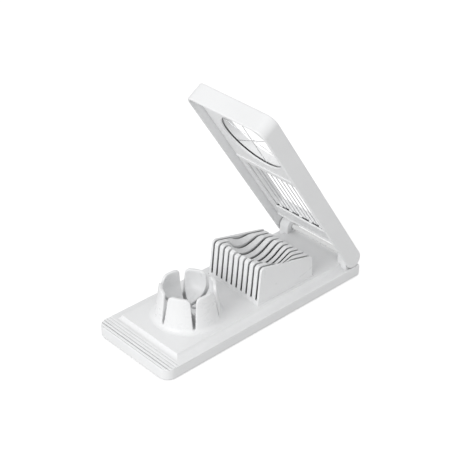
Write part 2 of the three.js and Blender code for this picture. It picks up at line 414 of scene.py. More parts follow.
skin = bpy.data.node_groups.new("moulded_skin", "ShaderNodeTree")
skin_in, skin_out = sockets(
    skin,
    [
        ("Vector", "Vector", (0, 0, 0)),
        ("White", "Color", (0.80, 0.80, 0.80, 1)),
        ("Cloud", "Color", (0.75, 0.75, 0.75, 1)),
        ("Gloss", "Float", 0.3),
        ("Peel", "Float", 700.0),
    ],
    [("Color", "Color"), ("Roughness", "Float"), ("Height", "Float")],
)
where = skin_in.outputs["Vector"]
drift = remap(skin, noise(skin, where, FLOW_CLOUDS, 4, 0.55, 0.6), 0.38, 0.66, 0, 1)
clouded = blend_colours(skin, drift, skin_in.outputs["White"], skin_in.outputs["Cloud"])
handling = noise(skin, where, HANDLING_MARKS, 5, 0.6, 1.2)
handled = remap(skin, handling, 0.35, 0.7, 0.0, HANDLING_DULL)
rubbing = noise(skin, where, RUB_MARKS, 2, 0.5, 3.0)
rubbed = remap(skin, rubbing, 0.58, 0.75, 0.0, RUB_DULL)
varied = sums(skin, "ADD", handled, rubbed)
peel = noise(skin, where, skin_in.outputs["Peel"], 2, 0.45)
grain = sums(skin, "MULTIPLY", noise(skin, where, FINE_GRAIN, 1, 0.5), GRAIN_SHARE)
set_inputs(skin, skin_out, {
    "Color": clouded,
    "Roughness": sums(skin, "ADD", varied, skin_in.outputs["Gloss"]),
    "Height": sums(skin, "ADD", peel, grain),
})
print("group", skin.name, "has", len(skin.nodes), "nodes")

# %% Painted edge light: a painted highlight where a corner sticks out, painted shade where two faces meet
edge_light = bpy.data.node_groups.new("painted_edge_light", "ShaderNodeTree")
edge_light_in, edge_light_out = sockets(
    edge_light,
    [
        ("Color", "Color", (0.8, 0.8, 0.8, 1)),
        ("Edge", "Color", (0.9, 0.9, 0.9, 1)),
        ("Crease", "Color", (0.6, 0.6, 0.6, 1)),
    ],
    [("Color", "Color")],
)
pointed = edge_light.nodes.new("ShaderNodeNewGeometry").outputs["Pointiness"]
# Painted highlight on edges that stick out and painted shade in creases, both read from pointiness.
outer = remap(edge_light, pointed, 0.52, 0.60, 0, 1)
crease = remap(edge_light, pointed, 0.40, 0.48, 1, 0)
highlighted = blend_colours(edge_light, outer, edge_light_in.outputs["Color"], edge_light_in.outputs["Edge"])
crease_shaded = blend_colours(edge_light, crease, highlighted, edge_light_in.outputs["Crease"])
set_inputs(edge_light, edge_light_out, {"Color": crease_shaded})
print("group", edge_light.name, "has", len(edge_light.nodes), "nodes")


# %% What plastic and steel share
def new_finish(name):
    """A new material, its node tree and its shader."""
    material = bpy.data.materials.new(name)
    material.use_nodes = True
    tree = material.node_tree
    return material, tree, tree.nodes["Principled BSDF"]


def mapped(tree, vector, turn=(0, 0, 0), scale=(1, 1, 1)):
    """Coordinates scaled and turned."""
    node = tree.nodes.new("ShaderNodeMapping")
    return set_inputs(tree, node, {"Vector": vector, "Rotation": turn, "Scale": scale}).outputs["Vector"]


def use_group(tree, group, values):
    """A node group placed in a material, with its own values."""
    node = tree.nodes.new("ShaderNodeGroup")
    node.node_tree = group
    return set_inputs(tree, node, values)


def raise_surface(tree, shader, height, strength, distance):
    """Bumps from a height pattern. The distance is their height in metres."""
    bump = tree.nodes.new("ShaderNodeBump")
    set_inputs(tree, bump, {"Height": height, "Strength": strength, "Distance": distance})
    feed(tree, bump.outputs["Normal"], shader.inputs["Normal"])


def shade_of(white, share):
    """A share of a white, as the colour of a socket."""
    return (*[share * v for v in white], 1)


# %% Plastic from the two groups
PLASTIC_IOR = 1.49
FLOW_STRETCH = (0.7, 1.0, 1.0)
CLOUD_SHARE = 0.965
# How much lighter the painted edge highlight is, and how much darker the painted crease shade is.
HIGHLIGHT_SHARE = 1.03
CREASE_SHADE_SHARE = 0.94
PEEL_STRENGTH = 0.5
# Reach, rays and occlusion range of the painted shade deep in narrow slots.
SLOT_REACH = 0.022
SLOT_RAYS = 12
SLOT_OPEN = (0.12, 0.42)


def plastic(name, white, gloss, peel, lift, turn=0.0, slot_shade=1.0):
    """A moulded white finish.

    Peel is how fine the orange peel is and lift its height in metres. Turn is the flow's direction.
    The last argument is the share of the white left deep in a narrow slot, where ambient occlusion
    paints shade into the colour.
    """
    material, tree, shader = new_finish(name)
    shader.inputs["IOR"].default_value = PLASTIC_IOR
    shader.inputs["Metallic"].default_value = 0.0
    place = tree.nodes.new("ShaderNodeTexCoord").outputs["Object"]
    surface = use_group(tree, skin, {
        "Vector": mapped(tree, place, turn=(0, turn, 0), scale=FLOW_STRETCH),
        "White": shade_of(white, 1),
        "Cloud": shade_of(white, CLOUD_SHARE),
        "Gloss": gloss,
        "Peel": peel,
    })
    # The edge group paints a highlight on outer edges and shade in creases into the colour.
    edges = use_group(tree, edge_light, {
        "Color": surface.outputs["Color"],
        "Edge": shade_of(white, HIGHLIGHT_SHARE),
        "Crease": shade_of(white, CREASE_SHADE_SHARE),
    })
    # Painted shade: ambient occlusion darkens the colour deep in narrow slots.
    slot_occlusion = tree.nodes.new("ShaderNodeAmbientOcclusion")
    slot_occlusion.inputs["Distance"].default_value = SLOT_REACH
    slot_occlusion.samples = SLOT_RAYS
    clear = remap(tree, slot_occlusion.outputs["AO"], *SLOT_OPEN, 0.0, 1.0)
    slot_shaded = blend_colours(tree, clear, shade_of(white, slot_shade), edges.outputs["Color"])
    feed(tree, slot_shaded, shader.inputs["Base Color"])
    feed(tree, surface.outputs["Roughness"], shader.inputs["Roughness"])
    raise_surface(tree, shader, surface.outputs["Height"], PEEL_STRENGTH, lift)
    print("finish", name, "gloss", gloss)
    return material


# %% The five white finishes
WHITE = (0.80, 0.805, 0.81)
ROD_WHITE = (0.78, 0.785, 0.78)
LID_OPEN = math.radians(56.44)
# The tray, cradle and cup get painted shade in their slots. The lid and rod get none.
tray_white = plastic("tray_white_plastic", WHITE, 0.30, 620, 0.00003, slot_shade=0.5)
cradle_white = plastic("cradle_white_plastic", WHITE, 0.27, 760, 0.00002, slot_shade=0.02)
cup_white = plastic("cup_white_plastic", WHITE, 0.26, 700, 0.00002, slot_shade=0.75)
lid_white = plastic("lid_white_plastic", WHITE, 0.28, 680, 0.00003, -LID_OPEN)
rod_white = plastic("rod_white_plastic", ROD_WHITE, 0.22, 1500, 0.00001)

# %% [markdown]
# ## Wire
# The wire is drawn stainless steel, about half a millimetre thick. Drawing leaves fine lines along
# it, so its noise is squeezed across the wire and stretched along it. A plain metal would look like
# a grey line.

# %% Steel with drawn lines along the wire
LINES = 9000
STAINS = 140

drawn = bpy.data.node_groups.new("drawn_lines", "ShaderNodeTree")
drawn_in, drawn_out = sockets(
    drawn,
    [
        ("Vector", "Vector", (0, 0, 0)),
        ("Bright", "Color", (0.7, 0.7, 0.7, 1)),
        ("Dark", "Color", (0.5, 0.5, 0.5, 1)),
    ],
    [("Color", "Color"), ("Roughness", "Float"), ("Height", "Float")],
)
lines = noise(drawn, drawn_in.outputs["Vector"], LINES, 3, 0.6)
stain = remap(drawn, noise(drawn, drawn_in.outputs["Vector"], STAINS, 2), 0.4, 0.7, 0, 1)
set_inputs(drawn, drawn_out, {
    "Color": blend_colours(drawn, stain, drawn_in.outputs["Bright"], drawn_in.outputs["Dark"]),
    "Roughness": remap(drawn, lines, 0.3, 0.7, 0.22, 0.38),
    "Height": lines,
})
print("group", drawn.name, "has", len(drawn.nodes), "nodes")

# %% Steel for a wire at any angle across the lid
BRIGHT_STEEL = (0.72, 0.72, 0.73, 1)
DARK_STEEL = (0.56, 0.56, 0.58, 1)
DRAWN_STRETCH = (0.03, 1, 1)
DRAWN_STRENGTH = 0.4
DRAWN_LIFT = 0.00001


def steel(name, across):
    """Drawn wire that runs at an angle to the lid's length, in the plane of the lid."""
    material, tree, shader = new_finish(name)
    shader.inputs["Metallic"].default_value = 1.0
    place = tree.nodes.new("ShaderNodeTexCoord").outputs["Object"]
    level = mapped(tree, place, turn=(0, -LID_OPEN, 0))
    along = mapped(tree, level, turn=(0, 0, -across))
    stretched = mapped(tree, along, scale=DRAWN_STRETCH)
    surface = use_group(tree, drawn, {"Vector": stretched, "Bright": BRIGHT_STEEL, "Dark": DARK_STEEL})
    feed(tree, surface.outputs["Color"], shader.inputs["Base Color"])
    feed(tree, surface.outputs["Roughness"], shader.inputs["Roughness"])
    raise_surface(tree, shader, surface.outputs["Height"], DRAWN_STRENGTH, DRAWN_LIFT)
    return material


WEDGE_TURNS = [math.radians(60 * i) for i in range(3)]
slice_steel = steel("slicing_wire_steel", 0.0)
wedge_steel = [steel(f"wedge_wire_steel_{i + 1}", turn) for i, turn in enumerate(WEDGE_TURNS)]
print("steel finishes", 1 + len(wedge_steel))

# %% [markdown]
# ## The tray
# The tray is a long slab with a raised deck. The deck's sides aren't sloping flats but a hollow
# curve, a cove, so the slope catches a soft gradient of light. A cove could be a boolean with a
# moulding cutter; it is simpler to inset the top face again and again, each inset a little narrower
# and higher than the last.

# %% Slab with rounded corners
tray_low, tray_high = box_of("base_tray")
SLAB_TOP = 9.7
DECK_TOP = 12.9
GRIP_CORNER = 8.5
HINGE_CORNER = 1.5


def plan_block(name, x, half, z, front_radius, back_radius, steps=12):
    """A block whose upright corners are rounded, more at one end than at the other."""
    piece = block(name, x, (-half, half), z)
    if front_radius:
        round_corners(piece, x[0], front_radius, steps)
    if back_radius:
        round_corners(piece, x[1], back_radius, max(4, steps // 3))
    return piece


TOP_ROUND = 0.85
FOOT_ROUND = 1.2
slab_x = (tray_low.x, tray_high.x)
tray = plan_block("moulded_tray", slab_x, tray_high.y, (0, SLAB_TOP), GRIP_CORNER, HINGE_CORNER, 16)
round_edges(tray, TOP_ROUND, 4, lambda e: on_level(e, SLAB_TOP))
round_edges(tray, FOOT_ROUND, 4, lambda e: on_level(e, 0))
print("slab", len(tray.data.polygons), "faces")

# %% Deck with coved sides
DECK_X = (-85.0, 97.5)
DECK_HALF = 31.5
COVE_RUN = 4.0
COVE_SWEEP = math.radians(84)
DECK_SUNK = 2.0


def coved_block(name, x, half, z, run, rise, steps=7):
    """A block whose top edge stands above a hollow curve that runs out at its foot."""
    foot = (x[0] - run, x[1] + run)
    piece = block(name, foot, (-half - run, half + run), (z[0], z[1] - rise))
    pick(piece, "FACE", faces_up)
    whole_run = math.sin(COVE_SWEEP)
    whole_rise = 1 - math.cos(COVE_SWEEP)
    last = (0.0, 0.0)
    for i in range(1, steps + 1):
        angle = COVE_SWEEP * i / steps
        here = (run * math.sin(angle) / whole_run, rise * (1 - math.cos(angle)) / whole_rise)
        bpy.ops.mesh.inset(thickness=here[0] - last[0], depth=here[1] - last[1])
        last = here
    put_down()
    return piece


deck_z = (SLAB_TOP - DECK_SUNK, DECK_TOP)
deck = coved_block("deck", DECK_X, DECK_HALF, deck_z, COVE_RUN, DECK_TOP - SLAB_TOP)
combine(tray, deck, "UNION")
print("slab and deck", len(tray.data.polygons), "faces")

# %% Five grooves for the fingers
GROOVE_COUNT = 5
GROOVE_FIRST = 1.6
GROOVE_PITCH = 2.75
GROOVE_RADIUS = 0.8
GROOVE_LEVEL = SLAB_TOP + 0.45
GROOVE_Y = (-45, 45)
groove = rod("groove", GROOVE_RADIUS, GROOVE_Y, tray_low.x + GROOVE_FIRST, GROOVE_LEVEL, 16)
grooves = [groove] + [copy_of(groove, (GROOVE_PITCH * i, 0, 0)) for i in range(1, GROOVE_COUNT)]
for each in grooves:
    combine(tray, each, "DIFFERENCE")
print("grooves cut", len(grooves))

# %% Ears for the hinge rod
rod_low, rod_high = box_of("hinge_rod")
PIVOT = Vector(((rod_low.x + rod_high.x) / 2, 0, (rod_low.z + rod_high.z) / 2))
ROD_RADIUS = (rod_high.x - rod_low.x) / 2
EAR_RADIUS = 6.8
EAR_Y = (28.0, 37.2)
EAR_SUNK = 1.5
CLEAR = 0.3


def hinge_ear(side):
    """An ear with a round top and a hole for the rod. Side is 1 or -1."""
    y = sorted((side * EAR_Y[0], side * EAR_Y[1]))
    x = (PIVOT.x - EAR_RADIUS, PIVOT.x + EAR_RADIUS)
    ear = block("ear", x, y, (SLAB_TOP - EAR_SUNK, PIVOT.z + EAR_RADIUS))
    round_edges(ear, EAR_RADIUS - HAIR, 12, lambda e: runs_along(e, 1) and middle(e).z > PIVOT.z)
    weld(ear, WELD)
    hole = rod("hole", ROD_RADIUS + CLEAR, (y[0] - PAST, y[1] + PAST), PIVOT.x, PIVOT.z, 32)
    return combine(ear, hole, "DIFFERENCE")


for side in (1, -1):
    combine(tray, hinge_ear(side), "UNION")
print("pivot at", [round(v, 2) for v in PIVOT])

# %% The hollow underside with its ribs
RIM = 2.8
SKIN = 2.0
CROSS_RIBS = (-66, -14, 74)
CROSS_RIB_WIDTH = 3.0
BAY_CORNER = 1.2
bay_ends = [tray_low.x + RIM]
for place in CROSS_RIBS:
    bay_ends += [place - CROSS_RIB_WIDTH / 2, place + CROSS_RIB_WIDTH / 2]
bay_ends.append(tray_high.x - RIM)
bays = list(zip(bay_ends[0::2], bay_ends[1::2]))
for index, (start, end) in enumerate(bays):
    front = GRIP_CORNER - RIM if index == 0 else BAY_CORNER
    lower_z = (-PAST, SLAB_TOP - SKIN)
    lower = plan_block("bay", (start, end), tray_high.y - RIM, lower_z, front, BAY_CORNER, 6)
    combine(tray, lower, "DIFFERENCE")
    x = (max(start, DECK_X[0] + SKIN), min(end, DECK_X[1] - SKIN))
    upper_z = (-PAST, DECK_TOP - SKIN)
    upper = plan_block("bay", x, DECK_HALF - SKIN, upper_z, BAY_CORNER, BAY_CORNER, 6)
    combine(tray, upper, "DIFFERENCE")
print("bays", [(round(a, 1), round(b, 1)) for a, b in bays])

# %% The opening under the cradle
cradle_low, cradle_high = box_of("slicing_cradle")
OPENING_EDGE = 2.5
OPENING_CORNER = 1.0
TRAY_EDGE = 0.28
opening = plan_block(
    "opening",
    (cradle_low.x + OPENING_EDGE, cradle_high.x - OPENING_EDGE),
    cradle_high.y - OPENING_EDGE,
    (-PAST, DECK_TOP + PAST),
    OPENING_CORNER,
    OPENING_CORNER,
    6,
)
combine(tray, opening, "DIFFERENCE")
soften(tray, TRAY_EDGE, 2)
finish_piece(tray, "base", tray_white, "white_plastic", "base_tray")

# %% [markdown]
# ## The cradle
# Eleven upright ribs stand close together, and the wires come down between them. An egg lies across
# the ribs in a hollow. The tops can't be cut with one clean sphere, because behind the hollow they
# roll over in a soft shoulder. So each rib is drawn from the side twice, once for each of its
# faces, with its top edge following a slope that melts into an egg-shaped bowl. The two outlines
# are bridged into a rib.

# %% The height of the ribs
SLICE_COUNT = 10
SLICE_PITCH = 5.5
SLOT_WIDTH = 1.8
# The bowl is the lower part of an egg-shaped solid: its middle and its half sizes.
BOWL = {"x": 29.5, "z": 48.6, "half_x": 24.4, "half_y": 27.6, "half_z": 24.0}
SHOULDER_START = 12
SHOULDER_RUN = 28
TIGHT_MELT = 1.6
BROAD_MELT = 7.0
CRADLE_BACK_TOP = 31.0
FRONT_LEAN = 2.8
BACK_LEAN = 0.6
FRONT_ROUND = 3.2
BACK_ROUND = 2.0
front_top = cradle_low.x + FRONT_LEAN
back_top = cradle_high.x - BACK_LEAN
fall = (cradle_high.z - CRADLE_BACK_TOP) / (back_top - front_top)


def slope_height(x):
    """The straight slope from the high front to the low back."""
    return cradle_high.z - fall * (x - front_top)


def bowl_height(x, y):
    """The bottom of the bowl, and outside the bowl the height of its rim."""
    inside = 1 - ((x - BOWL["x"]) / BOWL["half_x"]) ** 2 - (y / BOWL["half_y"]) ** 2
    return BOWL["z"] - BOWL["half_z"] * math.sqrt(max(0.0, inside))


def rib_height(x, y):
    """The slope, melted into the bowl: tightly at the front and in a broad shoulder behind."""
    back = min(1.0, max(0.0, (x - SHOULDER_START) / SHOULDER_RUN))
    melt = TIGHT_MELT + (BROAD_MELT - TIGHT_MELT) * back * back * (3 - 2 * back)
    slope = slope_height(x)
    bowl = bowl_height(x, y)
    share = min(1.0, max(0.0, 0.5 + 0.5 * (bowl - slope) / melt))
    return slope * share + bowl * (1 - share) - melt * share * (1 - share)


print("rib heights", [round(rib_height(x, 0), 1) for x in (5, 15, 30, 45, 55)])

# %% One rib between two side outlines
DECK_SEAT = DECK_TOP - 0.05
TOP_STEPS = 34


def rib_side(y):
    """The outline of one side of a rib, from the front foot over the top to the back foot."""
    lean = (FRONT_ROUND / (cradle_high.z - cradle_low.z)) * FRONT_LEAN
    points = [(cradle_low.x, DECK_SEAT), (front_top - lean, cradle_high.z - FRONT_ROUND)]
    crown = rib_height(front_top + FRONT_ROUND, y)
    for angle in (22.5, 45, 67.5):
        turn = math.radians(angle)
        x = front_top + FRONT_ROUND * (1 - math.cos(turn)) - lean * (1 - math.sin(turn))
        height = cradle_high.z - FRONT_ROUND + (crown - cradle_high.z + FRONT_ROUND) * math.sin(turn)
        points.append((x, height))
    start = front_top + FRONT_ROUND
    end = back_top - BACK_ROUND
    for i in range(TOP_STEPS + 1):
        x = (start + end) / 2 - (end - start) / 2 * math.cos(math.pi * i / TOP_STEPS)
        points.append((x, rib_height(x, y)))
    last = rib_height(end, y)
    for angle in (30, 60):
        turn = math.radians(angle)
        points.append((end + BACK_ROUND * math.sin(turn), last - BACK_ROUND * (1 - math.cos(turn))))
    points.append((back_top, last - BACK_ROUND))
    points.append((cradle_high.x, DECK_SEAT))
    return [(x, y, z) for x, z in points]


def rib(y_low, y_high):
    """Two filled outlines joined into one piece and bridged."""
    near = filled("rib_side", rib_side(y_low))
    put_down()
    far = filled("rib", rib_side(y_high))
    put_down()
    near.select_set(True)
    far.select_set(True)
    bpy.context.view_layer.objects.active = far
    bpy.ops.object.join()
    bpy.ops.object.mode_set(mode="EDIT")
    bpy.ops.mesh.select_all(action="SELECT")
    bpy.ops.mesh.bridge_edge_loops()
    face_outwards()
    return far


RIB_WIDTH = SLICE_PITCH - SLOT_WIDTH
middle_rib = rib(-RIB_WIDTH / 2, RIB_WIDTH / 2)
print("rib", len(middle_rib.data.polygons), "faces", len(middle_rib.data.vertices), "vertices")


# %% All the ribs: five are drawn to one side and mirrored to the other
def mirrored(piece):
    """A copy reflected across the object's middle, with its own mesh turned the right way out."""
    hold(piece)
    bpy.ops.object.duplicate()
    bpy.context.object.scale = (1, -1, 1)
    other = settle()
    bpy.ops.object.mode_set(mode="EDIT")
    face_outwards()
    return other


RIB_EDGE = 0.32
ribs = [middle_rib]
for i in range(1, SLICE_COUNT // 2 + 1):
    low = SLICE_PITCH * i - RIB_WIDTH / 2
    high = min(low + RIB_WIDTH, cradle_high.y)
    made = rib(low, high)
    ribs += [made, mirrored(made)]
for each in ribs:
    soften(each, RIB_EDGE, 3)
print("ribs", len(ribs))

# %% [markdown]
# The ribs stand in one moulded foot, a frame with sills at the front and back and a hollow-curved
# skirt where it meets the deck. The wires stop on the sills. The middle of the frame is open, so
# each slot looks down into the dark hollow of the tray.

# %% Foot of the cradle
SILL_TOP = 15.7
SILL = 2.8
SKIRT = 1.1
SKIRT_RIM = 0.1
FOOT_BACK = 0.02
FOOT_SIDE = 1.5
FOOT_EDGE = 0.2
foot = coved_block(
    "moulded_cradle",
    (cradle_low.x + FOOT_BACK, cradle_high.x - FOOT_BACK),
    cradle_high.y - FOOT_BACK,
    (DECK_SEAT, DECK_SEAT + SKIRT + SKIRT_RIM),
    SKIRT,
    SKIRT,
    5,
)
pick(foot, "FACE", lambda f: faces_up(f) and f.calc_center_median().z > DECK_SEAT + SKIRT)
sill_rise = SILL_TOP - DECK_SEAT - SKIRT - SKIRT_RIM
bpy.ops.mesh.extrude_region_move(TRANSFORM_OT_translate={"value": (0, 0, sill_rise)})
put_down()
inner = block(
    "inner",
    (cradle_low.x + SILL, cradle_high.x - SILL),
    (-cradle_high.y + FOOT_SIDE, cradle_high.y - FOOT_SIDE),
    (DECK_SEAT - PAST, SILL_TOP + PAST),
)
combine(foot, inner, "DIFFERENCE")
soften(foot, FOOT_EDGE, 2)
hold(foot)
for each in ribs:
    each.select_set(True)
bpy.ops.object.join()
finish_piece(foot, "base", cradle_white, "white_plastic", "slicing_cradle")

# %% [markdown]
# ## The cup
# Six lobes stand round an egg-shaped hollow. It is one turned shape, solid at the foot, with three
# slots cut right through the middle. Spinning a drawn profile gives it a true round wall and a
# fillet at the foot. The slots are narrow below and flare out at the top, which rounds the
# shoulders of all six lobes at once.

# %% Turn the cup
cup_low, cup_high = box_of("wedge_cup")
CUP_X = (cup_low.x + cup_high.x) / 2
CUP_TOP = cup_high.z
CUP_SUNK = 0.6
FOOT_FILLET = 4.2
FILLET_END = -172
FILLET_STEPS = 8
FOOT_OUT = 29.0
TOP_OUT = 21.4
TOP_IN = 18.9
WALL_BULGE = 0.2
WALL_STEPS = 6
RIM_STEPS = 5
EGG_STEPS = 16
# The hollow is widest at a drop below the rim. The power makes its bottom fuller than an ellipse.
HOLLOW = {"radius": 20.0, "drop": 8.0, "below": 12.5, "above": 20.0, "power": 2.6}


def cup_profile():
    """The fillet, the tapering wall, the rim and the egg-shaped hollow, from the foot to the middle."""
    points = [(0, DECK_TOP - CUP_SUNK), (FOOT_OUT, DECK_TOP - CUP_SUNK)]
    centre = (FOOT_OUT, DECK_TOP + FOOT_FILLET)
    points += arc(centre, FOOT_FILLET, -90, FILLET_END, FILLET_STEPS)
    start = points[-1]
    for i in range(1, WALL_STEPS + 1):
        share = i / WALL_STEPS
        bulge = WALL_BULGE * math.sin(math.pi * share)
        points.append((
            start[0] + (TOP_OUT - start[0]) * share - bulge,
            start[1] + (CUP_TOP - start[1]) * share,
        ))
    points.append((TOP_IN, CUP_TOP))
    for i in range(1, RIM_STEPS + 1):
        drop = HOLLOW["drop"] * i / RIM_STEPS
        up = (HOLLOW["drop"] - drop) / HOLLOW["above"]
        points.append((HOLLOW["radius"] * math.sqrt(1 - up * up), CUP_TOP - drop))
    power = 2 / HOLLOW["power"]
    for i in range(1, EGG_STEPS + 1):
        turn = math.radians(90 * i / EGG_STEPS)
        across = math.cos(turn) ** power if i < EGG_STEPS else 0.0
        points.append((
            HOLLOW["radius"] * across,
            CUP_TOP - HOLLOW["drop"] - HOLLOW["below"] * math.sin(turn) ** power,
        ))
    return points


cup = turned("moulded_cup", cup_profile(), CUP_X, 120)
print("cup turned", len(cup.data.polygons), "faces")

# %% Cut the six slots
SLOT_FLOOR = 15.2
SLOT_HALF = (1.0, 2.1)
SLOT_CORNER = 0.7
SHOULDER = 4.2
SHOULDER_SWEEP = 84
SHOULDER_STEPS = 8
CUT_REACH = 35


def wedge_cutter():
    """A tall wedge across the cup, with its mouth flared by an arc on each side."""
    mouth = CUP_TOP - SHOULDER
    side = [(SLOT_HALF[0], SLOT_FLOOR)]
    flare = arc((0, 0), SHOULDER, 0, SHOULDER_SWEEP, SHOULDER_STEPS)
    side += [(SLOT_HALF[1] + SHOULDER - y, mouth + z) for y, z in flare]
    side.append((side[-1][0], CUP_TOP + PAST))
    outline = [(-CUT_REACH, y, z) for y, z in side] + [(-CUT_REACH, -y, z) for y, z in reversed(side)]
    cutter = filled("wedge_slot", outline)
    bpy.ops.mesh.extrude_region_move(TRANSFORM_OT_translate={"value": (2 * CUT_REACH, 0, 0)})
    face_outwards()
    round_edges(cutter, SLOT_CORNER, 3, lambda e: runs_along(e, 0) and on_level(e, SLOT_FLOOR))
    return cutter


cutter = wedge_cutter()
for turn in WEDGE_TURNS:
    each = turn_and_move(copy_of(cutter, (0, 0, 0)), (0, 0, turn), (CUP_X, 0, 0))
    combine(cup, each, "DIFFERENCE")
bpy.data.objects.remove(cutter, do_unlink=True)
print("slots cut", 2 * len(WEDGE_TURNS))

# %% Melt the cup's edges
CUP_SKIN = 0.42
CUP_RELAX = 10
RELAX_SHARE = 0.5


def melt_edges(piece, voxel, rounds):
    """Round every edge at once: rebuild the skin in tiny even squares, then relax it."""
    hold(piece)
    rebuilt = piece.modifiers.new("even skin", "REMESH")
    rebuilt.mode = "VOXEL"
    rebuilt.voxel_size = voxel
    bpy.ops.object.modifier_apply(modifier=rebuilt.name)
    relaxed = piece.modifiers.new("relax", "SMOOTH")
    relaxed.factor = RELAX_SHARE
    relaxed.iterations = rounds
    bpy.ops.object.modifier_apply(modifier=relaxed.name)
    bpy.ops.object.shade_smooth()
    return piece


melt_edges(cup, CUP_SKIN, CUP_RELAX)
finish_piece(cup, "base", cup_white, "white_plastic", "wedge_cup")

# %% [markdown]
# ## The lid
# The lid is a shallow shell like an upturned tray: an outer plate with two windows, side walls that
# end in round heels about the hinge, and a standing wall round each window. It is modelled lying
# shut, with the hinge axis at the bench's origin, because everything is square there. Each finished
# piece is then turned up about the hinge. The heel is only a block's end with its two cross edges
# rounded until they meet.

# %% Lid sizes
# The reach is from the hinge to the free end, and the half is half of the width.
LID = {"reach": 186.4, "half": 39.7, "depth": 15.4, "corner": 8.0, "wall": 2.0}
HEEL = LID["depth"] / 2
PLATE_END = -15.0
ROUND_WINDOW = {"x": CUP_X - PIVOT.x, "radius": 28.2}
SLICE_WINDOW = {"x": (-97.6, -31.6), "half": 31.0}
PLATE = (-1.2, 0.3)
COLLAR_BOTTOM = 1.65


def stand_up(piece):
    """Turn a piece made in the shut lid's own place up to the lid's open place."""
    return turn_and_move(piece, (0, LID_OPEN, 0), PIVOT)


def is_wall(face):
    """Whether a face belongs to the shell's sides or its free end."""
    return abs(face.normal.y) > 0.02 or face.normal.x < -0.5


# %% Outer form with round heels and soft outer edges
OUTER_ROUND = 1.1
shell = block("moulded_lid", (-LID["reach"], HEEL), (-LID["half"], LID["half"]), (-HEEL, HEEL))
round_corners(shell, -LID["reach"], LID["corner"], 16)
round_edges(shell, HEEL - HAIR, 16, lambda e: runs_along(e, 1) and middle(e).x > HEEL - SAME_PLACE)
weld(shell, WELD)
round_edges(
    shell,
    OUTER_ROUND,
    4,
    lambda e: len(e.link_faces) == 2 and is_wall(e.link_faces[0]) != is_wall(e.link_faces[1]),
)
print("lid outside", len(shell.data.polygons), "faces")

# %% Hollow the shell
wall = LID["wall"]
inside = LID["half"] - wall
TOOL_END = 20
past_face = HEEL + 1
hollow_x = (wall - LID["reach"], TOOL_END)
hollow_z = (-past_face, HEEL - wall)
hollow = plan_block("hollow", hollow_x, inside, hollow_z, LID["corner"] - wall, 0, 12)
combine(shell, hollow, "DIFFERENCE")
heel_gap = block("heel_gap", (PLATE_END, TOOL_END), (-inside, inside), (-past_face, past_face))
combine(shell, heel_gap, "DIFFERENCE")
print("lid hollowed", len(shell.data.polygons), "faces")

# %% Walls round the windows, the wall at the hinge end and the posts that part the wires
WALL_TOP = HEEL - 0.5
POST = {"width": 3.6, "length": 3.4, "round": 0.5}
PLATE_SEAT = PLATE[1] + CLEAR
WALL_SUNK = 0.5
x0, x1 = SLICE_WINDOW["x"]
half = SLICE_WINDOW["half"]
collar_z = (COLLAR_BOTTOM, WALL_TOP)
collar = upright_disc("collar", ROUND_WINDOW["radius"] + wall, ROUND_WINDOW["x"], collar_z)
combine(shell, collar, "UNION")
collar = block("collar", (x0 - wall, x1 + wall), (-half - wall, half + wall), collar_z)
combine(shell, collar, "UNION")
for side in (1, -1):
    y = sorted((side * half, side * (half + wall)))
    combine(shell, block("long_wall", (x0, x1), y, (PLATE_SEAT, WALL_TOP)), "UNION")
end_y = (-inside - WALL_SUNK, inside + WALL_SUNK)
end_wall = block("end_wall", (PLATE_END - wall, PLATE_END), end_y, (PLATE_SEAT, WALL_TOP))
combine(shell, end_wall, "UNION")
posts = SLICE_COUNT // 2 + 1
first_post = block(
    "post",
    (x0 - POST["length"], x0),
    [(-(posts - 1)) * SLICE_PITCH + d * POST["width"] / 2 for d in (-1, 1)],
    (PLATE_SEAT, WALL_TOP),
)
round_edges(first_post, POST["round"], 3, lambda e: runs_along(e, 2))
for i in range(posts):
    for shift in (0, x1 - x0 + POST["length"]):
        combine(shell, copy_of(first_post, (shift, 2 * SLICE_PITCH * i, 0)), "UNION")
bpy.data.objects.remove(first_post, do_unlink=True)
print("posts", 2 * posts)


# %% The windows and the sockets for the rod
def window_cutters(z):
    """A tool for each window, from a low to a high Z."""
    round_one = upright_disc("round_window", ROUND_WINDOW["radius"], ROUND_WINDOW["x"], z, 128)
    long_one = block("long_window", (x0, x1), (-half, half), z)
    return round_one, long_one


for cutter in window_cutters((-HEEL, past_face)):
    combine(shell, cutter, "DIFFERENCE")
ROD_END = rod_high.y
SOCKET_START = ROD_END - 4.0
LID_EDGE = 0.22
for side in (1, -1):
    y = sorted((side * SOCKET_START, side * (ROD_END + CLEAR)))
    combine(shell, rod("socket", ROD_RADIUS + CLEAR, y, 0, 0, 32), "DIFFERENCE")
soften(shell, LID_EDGE, 2)
stand_up(shell)
finish_piece(shell, "lid", lid_white, "white_plastic", "lid_frame")

# %% [markdown]
# ## The wire plate
# A flat plate closes the lid from below and traps the ends of the wires. A bead crosses it between
# the two windows, and its hinge end has a rounded lip. Both keep it stiff. A narrow dark gap is
# left all round between the plate and the shell, as between any two mouldings.

# %% Plate with its bead and lip
gap = wall + CLEAR
PLATE_CORNER = 0.8
PLATE_EDGE = 0.2
plate_x = (gap - LID["reach"], PLATE_END - CLEAR)
plate = plan_block(
    "wire_plate", plate_x, LID["half"] - gap, PLATE, LID["corner"] - gap, PLATE_CORNER, 12
)
BEAD = {"x": -104.6, "width": 1.3, "height": 0.75, "from_side": 1.4, "sunk_to": -0.4, "round": 0.35}
LIP_WIDTH = 2.2
LIP_X = PLATE_END - CLEAR - LIP_WIDTH / 2 - HAIR


